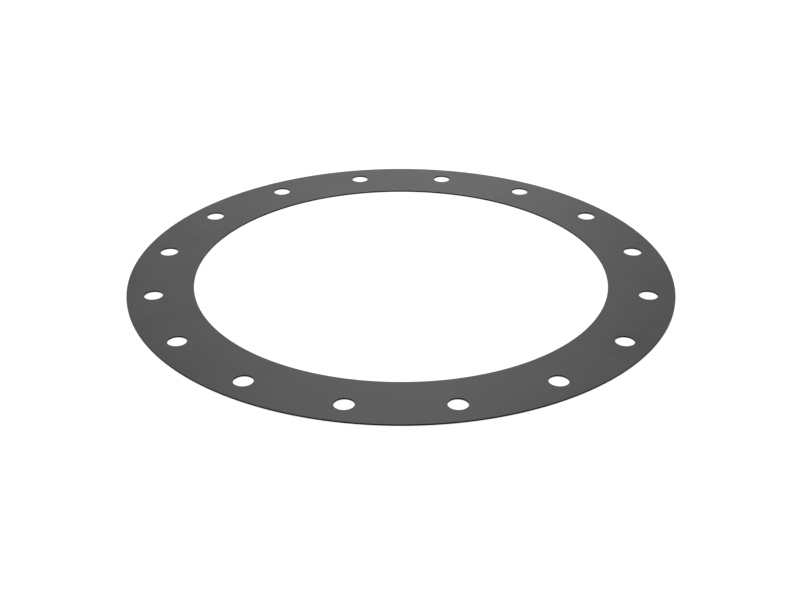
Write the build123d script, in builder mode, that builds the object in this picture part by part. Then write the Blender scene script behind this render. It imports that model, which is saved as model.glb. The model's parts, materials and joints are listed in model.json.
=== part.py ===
from build123d import *
import os

# Full-face flange gasket: one flat ring cut from sheet rubber, with a circle of bolt holes.
# Millimetres. +Z is up, and the origin is on the ring's axis in the plane of its lower face.

# The ring's widths, from its axis outwards
bore_diameter = 501.5
sealing_width = 47.75  # from the bore's wall to the bolt circle
rim_width = 31.5  # from the bolt circle to the outer rim

# The sheet that it is cut from
thickness = 2.0
edge_break = 0.15  # the slight bevel on every cut edge

# The bolt holes
bolt_hole_diameter = 22.2
bolt_hole_count = 16

# What follows from those sizes
bolt_circle_diameter = bore_diameter + 2 * sealing_width
outer_diameter = bolt_circle_diameter + 2 * rim_width
half_pitch_angle = 360 / bolt_hole_count / 2

# The holes straddle the X and Y axes, as the bolts of a flange do
with BuildPart() as gasket_ring:
    with BuildSketch(Plane.XY) as cut_outline:
        Circle(outer_diameter / 2)
        Circle(bore_diameter / 2, mode=Mode.SUBTRACT)
        with PolarLocations(bolt_circle_diameter / 2, bolt_hole_count, start_angle=half_pitch_angle):
            Circle(bolt_hole_diameter / 2, mode=Mode.SUBTRACT)
    extrude(amount=thickness)
    chamfer(gasket_ring.edges().filter_by(GeomType.CIRCLE), length=edge_break)

gasket_ring.part.label = "gasket_ring"

os.makedirs("parts", exist_ok=True)
export_step(gasket_ring.part, "parts/gasket_ring.step")
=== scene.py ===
import json
import math

import bmesh
import bpy
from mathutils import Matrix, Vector


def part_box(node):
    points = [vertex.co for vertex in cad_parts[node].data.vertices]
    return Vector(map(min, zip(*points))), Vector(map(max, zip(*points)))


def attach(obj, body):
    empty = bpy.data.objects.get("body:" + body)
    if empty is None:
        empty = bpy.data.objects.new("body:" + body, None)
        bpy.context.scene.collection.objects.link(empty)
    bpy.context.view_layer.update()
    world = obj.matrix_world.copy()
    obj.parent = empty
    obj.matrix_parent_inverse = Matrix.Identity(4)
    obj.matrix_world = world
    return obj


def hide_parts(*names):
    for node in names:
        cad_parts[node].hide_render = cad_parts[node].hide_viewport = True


# A flat gasket cut from dark grey sheet rubber, lying on a white studio floor.
# Metres throughout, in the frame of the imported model: +Z is up and the ring's axis is the Z axis.

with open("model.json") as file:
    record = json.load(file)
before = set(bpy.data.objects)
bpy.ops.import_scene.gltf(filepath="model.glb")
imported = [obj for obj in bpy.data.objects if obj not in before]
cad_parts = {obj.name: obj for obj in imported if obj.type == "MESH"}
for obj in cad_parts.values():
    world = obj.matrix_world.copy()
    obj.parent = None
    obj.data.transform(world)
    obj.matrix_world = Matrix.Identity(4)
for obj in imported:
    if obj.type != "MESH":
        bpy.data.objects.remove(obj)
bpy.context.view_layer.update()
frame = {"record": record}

# The ring's own sizes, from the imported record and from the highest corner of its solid's box
mm_per_metre = 1000
mounts = {mount["name"]: mount["dims"] for mount in frame["record"]["mounts"]}
solid_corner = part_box("gasket_ring")[1]
outer_radius = solid_corner.x
thickness = solid_corner.z
bore_radius = mounts["bore"]["r_mm"] / mm_per_metre
bolt_circle_radius = mounts["bolt_holes"]["pcd_mm"] / 2 / mm_per_metre
hole_radius = mounts["bolt_holes"]["hole_r_mm"] / mm_per_metre
hole_count = mounts["bolt_holes"]["count"]
half_pitch = math.pi / hole_count

# The cut edges: their rounding, and the narrow band beside it that keeps the flat faces flat in the light
edge_radius = 0.00015
edge_margin = 0.0006
edge_steps = 3
weld_distance = edge_radius / 100

# Faces of the mesh in one hole's sector of the ring. The rows on the land crowd towards the hole, and a
# face counts as a cut wall where its normal's Z is below the wall's steepness
rim_steps = 36
side_steps = 18
bore_steps = 24
land_steps = 4
land_crowding = 1.5
hole_steps = rim_steps + 2 * side_steps + bore_steps
wall_steepness = 0.5

# The camera, found by fitting the ring's edges to the photograph
picture_width = 800
focal_length_in_pixels = 1260.7
sensor_width_mm = 36.0
camera_place = Vector((-0.00116, -1.3724, 0.7073))
camera_tilt_down = math.radians(28.447)

# Noise textures: how rough they are, and the range that most of their values lie in
noise_roughness = 0.55
noise_low = 0.3
noise_high = 0.7

# The moulded faces of the sheet. Greys are linear, frequencies are in waves per metre, and each octave is a
# finer layer. The drag's own waves per metre, along X, Y and Z, are in its stretch
sheet_grey = 0.07
sheet_contrast = 0.21
sheet_roughness = 0.42
sheet_roughness_spread = 0.03
sheet_specular_level = 0.04
bloom_frequency = 16.0
bloom_octaves = 4.0
drag_frequency = 1.0
drag_stretch = (5.0, 70.0, 1.0)
drag_turn = math.radians(20)
drag_octaves = 3.0
drag_share = 0.15
grain_frequency = 1300.0
grain_octaves = 3.0
grain_depth = 0.00006
grain_share = 0.5

# The cut walls. Their grey is darker than the faces' grey, partly because a cut shows rubber without the
# faces' bloom and partly as painted shade for walls that catch less light
cut_grey_with_painted_shade = 0.052
cut_contrast = 0.2
cut_roughness = 0.5
cut_roughness_spread = 0.06
cut_specular_level = 0.04
patch_frequency = 40.0
patch_octaves = 2.0
mark_frequency = 1800.0
mark_octaves = 3.0
mark_stretch = (1.0, 1.0, 0.07)
mark_depth = 0.00008
mark_share = 0.5

# The studio: the floor just below the ring, the even light of the room, the white backdrop, and the lamps.
# Each lamp has its name, azimuth and elevation in degrees, width and height in metres, and watts
white = (1, 1, 1, 1)
floor_width = 40.0
floor_drop = 0.00005
floor_grey = 0.25
floor_glow = 0.89
even_light = 0.42
backdrop_glow = 1.0
softbox_distance = 2.5
softboxes = [
    ("rear_right_softbox", 82, 18, 0.8, 0.6, 2.3),
    ("rear_left_softbox", 106, 28, 0.8, 0.6, 1.9),
    ("rear_middle_softbox", 90, 28, 0.8, 0.6, 3.8),
    ("rear_high_softbox", 90, 45, 1.0, 1.0, 38.0),
]


def cut_edge_profile():
    """(inset from the wall, height) from the upper face, over both rounded edges, to the lower face."""
    upper = [(edge_margin, thickness)]
    for step in range(edge_steps + 1):
        angle = math.pi / 2 * step / edge_steps
        inset = edge_radius * (1 - math.sin(angle))
        height = thickness - edge_radius * (1 - math.cos(angle))
        upper.append((inset, height))
    lower = [(inset, thickness - height) for inset, height in reversed(upper)]
    return upper + lower


def on_circle(radius, angle, height):
    """A point on a circle round the ring's axis."""
    return Vector((radius * math.cos(angle), radius * math.sin(angle), height))


def sector_outline(middle, height):
    """The border of one hole's sector, anticlockwise from the middle of its rim, clear of the cut edges."""
    rim = outer_radius - edge_margin
    bore = bore_radius + edge_margin
    start, end = middle - half_pitch, middle + half_pitch
    half_rim = rim_steps // 2
    outline = [on_circle(rim, middle + half_pitch * k / half_rim, height) for k in range(half_rim)]
    outline += [on_circle(rim + (bore - rim) * k / side_steps, end, height) for k in range(side_steps)]
    outline += [on_circle(bore, end + (start - end) * k / bore_steps, height) for k in range(bore_steps)]
    outline += [on_circle(bore + (rim - bore) * k / side_steps, start, height) for k in range(side_steps)]
    outline += [on_circle(rim, start + half_pitch * k / half_rim, height) for k in range(half_rim)]
    return outline


def hole_circle(middle, inset, height):
    """One loop round a bolt hole, which starts on the side of the rim."""
    centre = on_circle(bolt_circle_radius, middle, height)
    turn = 2 * math.pi / hole_steps
    return [centre + on_circle(hole_radius + inset, middle + turn * k, 0) for k in range(hole_steps)]


def land_loops(middle, height):
    """Closed loops over a flat face, from the sector's border towards its bolt hole."""
    border = sector_outline(middle, height)
    hole = hole_circle(middle, edge_margin, height)
    shares = [(step / land_steps) ** land_crowding for step in range(land_steps, 0, -1)]
    return [[near.lerp(far, share) for near, far in zip(hole, border)] for share in shares]


def sector_loops(middle):
    """Closed loops from the sector's border, over the upper face, down the hole's wall and back below."""
    wall = [hole_circle(middle, inset, height) for inset, height in cut_edge_profile()]
    return land_loops(middle, thickness) + wall + land_loops(middle, 0.0)[::-1]


def round_loops(wall_radius, towards_rubber, steps):
    """Closed loops down the rim's wall, or the bore's, round the whole ring."""
    turn = 2 * math.pi / steps
    return [
        [on_circle(wall_radius + towards_rubber * inset, turn * k, height) for k in range(steps)]
        for inset, height in cut_edge_profile()
    ]


def join_loops(mesh, loops):
    """Quads between each closed loop of points and the next."""
    rows = [[mesh.verts.new(point) for point in loop] for loop in loops]
    for row, below in zip(rows, rows[1:]):
        for k in range(len(row)):
            mesh.faces.new((row[k - 1], row[k], below[k], below[k - 1]))


def gasket_mesh():
    """The whole ring as one closed mesh. Material 0 is the sheet's faces, and material 1 its cut walls."""
    mesh = bmesh.new()
    for sector in range(hole_count):
        join_loops(mesh, sector_loops(half_pitch * (2 * sector + 1)))
    join_loops(mesh, round_loops(outer_radius, -1, rim_steps * hole_count))
    join_loops(mesh, round_loops(bore_radius, 1, bore_steps * hole_count))
    bmesh.ops.remove_doubles(mesh, verts=mesh.verts, dist=weld_distance)
    bmesh.ops.recalc_face_normals(mesh, faces=mesh.faces)
    for face in mesh.faces:
        face.smooth = True
        face.material_index = 1 if abs(face.normal.z) < wall_steepness else 0
    made = bpy.data.meshes.new("gasket_sheet")
    mesh.to_mesh(made)
    mesh.free()
    return made


def add_camera():
    """The photograph's viewpoint."""
    camera = bpy.data.cameras.new("camera")
    camera.sensor_width = sensor_width_mm
    camera.lens = sensor_width_mm * focal_length_in_pixels / picture_width
    seat = bpy.data.objects.new("camera", camera)
    seat.location = camera_place
    seat.rotation_euler = (math.pi / 2 - camera_tilt_down, 0, 0)
    bpy.context.scene.collection.objects.link(seat)
    bpy.context.scene.camera = seat


def add_gasket():
    """The dressed ring, which stands for the plain solid."""
    ring = bpy.data.objects.new("gasket_sheet", gasket_mesh())
    bpy.context.scene.collection.objects.link(ring)
    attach(ring, "root")
    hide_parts("gasket_ring")
    return ring


def add_node(tree, kind, inputs=None, **settings):
    """A shader node, with its inputs set to values or linked to other nodes' sockets."""
    node = tree.nodes.new(kind)
    for name, value in settings.items():
        setattr(node, name, value)
    for name, value in (inputs or {}).items():
        if isinstance(value, bpy.types.NodeSocket):
            tree.links.new(value, node.inputs[name])
        else:
            node.inputs[name].default_value = value
    return node


def noise(tree, place, frequency, octaves):
    """A noise of that many waves per metre, in the object's own space."""
    inputs = {"Vector": place, "Scale": frequency, "Detail": octaves, "Roughness": noise_roughness}
    return add_node(tree, "ShaderNodeTexNoise", inputs).outputs[0]


def stretched(tree, place, scale, turn=0.0):
    """The place, turned about Z and scaled along each axis, which draws a noise out into streaks."""
    inputs = {"Vector": place, "Rotation": (0, 0, turn), "Scale": scale}
    return add_node(tree, "ShaderNodeMapping", inputs).outputs[0]


def blended(tree, first, second, share):
    """The first value with that share of the second in it."""
    inputs = {"Factor": share, "A": first, "B": second}
    return add_node(tree, "ShaderNodeMix", inputs).outputs["Result"]


def from_noise(tree, value, middle, spread):
    """The noise's usual range, spread evenly about the middle."""
    inputs = {"Value": value, "From Min": noise_low, "From Max": noise_high}
    inputs |= {"To Min": middle - spread, "To Max": middle + spread}
    return add_node(tree, "ShaderNodeMapRange", inputs).outputs[0]


def grey_tones(tree, value, grey, contrast):
    """A neutral grey, up to that share darker and lighter with the noise."""
    ramp = add_node(tree, "ShaderNodeValToRGB", {0: value})
    darkest, lightest = grey * (1 - contrast), grey * (1 + contrast)
    for element, place, tone in zip(ramp.color_ramp.elements, (noise_low, noise_high), (darkest, lightest)):
        element.position = place
        element.color = (tone, tone, tone, 1)
    return ramp.outputs[0]


def bumped(tree, height, depth):
    """A normal from a height map that is that many metres deep."""
    inputs = {"Height": height, "Distance": depth, "Strength": 1.0}
    return add_node(tree, "ShaderNodeBump", inputs).outputs[0]


def rubber(name, specular_level):
    """A material named so, its node tree, its place in the object's own space and its shader."""
    material = bpy.data.materials.new(name)
    material.use_nodes = True
    tree = material.node_tree
    place = add_node(tree, "ShaderNodeTexCoord").outputs["Object"]
    shader = tree.nodes["Principled BSDF"]
    shader.inputs["Specular IOR Level"].default_value = specular_level
    return material, tree, place, shader


def sheet_rubber():
    """The moulded faces: matt dark grey, with soft patches of bloom, a faint drag and a fine grain."""
    material, tree, place, shader = rubber("sheet_rubber", sheet_specular_level)
    bloom = noise(tree, place, bloom_frequency, bloom_octaves)
    drag_place = stretched(tree, place, drag_stretch, drag_turn)
    drag = noise(tree, drag_place, drag_frequency, drag_octaves)
    grain = noise(tree, place, grain_frequency, grain_octaves)
    tone = blended(tree, blended(tree, bloom, drag, drag_share), grain, grain_share)
    roughness = from_noise(tree, tone, sheet_roughness, sheet_roughness_spread)
    tree.links.new(grey_tones(tree, tone, sheet_grey, sheet_contrast), shader.inputs["Base Color"])
    tree.links.new(roughness, shader.inputs["Roughness"])
    tree.links.new(bumped(tree, grain, grain_depth), shader.inputs["Normal"])
    return material


def cut_rubber():
    """The cut walls: plain rubber without the bloom of the faces, with fine upright marks of the blade.
    Their darker grey is partly painted shade.
    """
    material, tree, place, shader = rubber("cut_rubber", cut_specular_level)
    patches = noise(tree, place, patch_frequency, patch_octaves)
    mark_place = stretched(tree, place, mark_stretch)
    marks = noise(tree, mark_place, mark_frequency, mark_octaves)
    tone = blended(tree, patches, marks, mark_share)
    roughness = from_noise(tree, marks, cut_roughness, cut_roughness_spread)
    # the walls' darker base grey is partly painted shade
    tree.links.new(grey_tones(tree, tone, cut_grey_with_painted_shade, cut_contrast), shader.inputs["Base Color"])
    tree.links.new(roughness, shader.inputs["Roughness"])
    tree.links.new(bumped(tree, marks, mark_depth), shader.inputs["Normal"])
    return material


def larger(tree, first, second):
    """The larger of two values."""
    return add_node(tree, "ShaderNodeMath", {0: first, 1: second}, operation="MAXIMUM").outputs[0]


def times(tree, value, factor):
    """The value times the factor."""
    return add_node(tree, "ShaderNodeMath", {0: value, 1: factor}, operation="MULTIPLY").outputs[0]


def seen_directly(tree):
    """1 for rays from the camera, off a mirror or through glass, and 0 for light that falls on things."""
    ray = add_node(tree, "ShaderNodeLightPath").outputs
    mirrored = larger(tree, ray["Is Camera Ray"], ray["Is Glossy Ray"])
    return larger(tree, mirrored, ray["Is Transmission Ray"])


def add_floor():
    """The floor. Its glow makes it white where it is seen, and its grey keeps the ring's shadow."""
    mesh = bpy.data.meshes.new("floor")
    reach = floor_width / 2
    corners = [(-reach, -reach), (reach, -reach), (reach, reach), (-reach, reach)]
    mesh.from_pydata([(x, y, -floor_drop) for x, y in corners], [], [(0, 1, 2, 3)])
    material = bpy.data.materials.new("studio_floor")
    material.use_nodes = True
    tree = material.node_tree
    shader = tree.nodes["Principled BSDF"]
    shader.inputs["Base Color"].default_value = (floor_grey, floor_grey, floor_grey, 1)
    shader.inputs["Roughness"].default_value = 1.0
    shader.inputs["Specular IOR Level"].default_value = 0.0
    shader.inputs["Emission Color"].default_value = white
    tree.links.new(times(tree, seen_directly(tree), floor_glow), shader.inputs["Emission Strength"])
    mesh.materials.append(material)
    floor = bpy.data.objects.new("floor", mesh)
    bpy.context.scene.collection.objects.link(floor)


def add_world():
    """White where it is seen, and a soft even light on everything."""
    world = bpy.data.worlds.new("studio")
    world.use_nodes = True
    tree = world.node_tree
    background = tree.nodes["Background"]
    background.inputs["Color"].default_value = white
    inputs = {"Factor": seen_directly(tree), "A": even_light, "B": backdrop_glow}
    strength = add_node(tree, "ShaderNodeMix", inputs).outputs["Result"]
    tree.links.new(strength, background.inputs["Strength"])
    bpy.context.scene.world = world


def add_softbox(name, azimuth, elevation, width, height, watts):
    """A rectangular lamp that faces the ring from that direction. Azimuth 90 is behind the ring."""
    lamp = bpy.data.lights.new(name, "AREA")
    lamp.shape = "RECTANGLE"
    lamp.size = width
    lamp.size_y = height
    lamp.energy = watts
    seat = bpy.data.objects.new(name, lamp)
    level = math.cos(math.radians(elevation))
    towards = on_circle(level, math.radians(azimuth), math.sin(math.radians(elevation)))
    seat.location = towards * softbox_distance
    seat.rotation_euler = towards.to_track_quat("Z", "Y").to_euler()
    seat.visible_camera = False
    bpy.context.scene.collection.objects.link(seat)


add_camera()
add_floor()
add_world()
for softbox in softboxes:
    add_softbox(*softbox)

gasket = add_gasket()
gasket.data.materials.append(sheet_rubber())
gasket.data.materials.append(cut_rubber())
bpy.context.scene.view_settings.view_transform = "Standard"
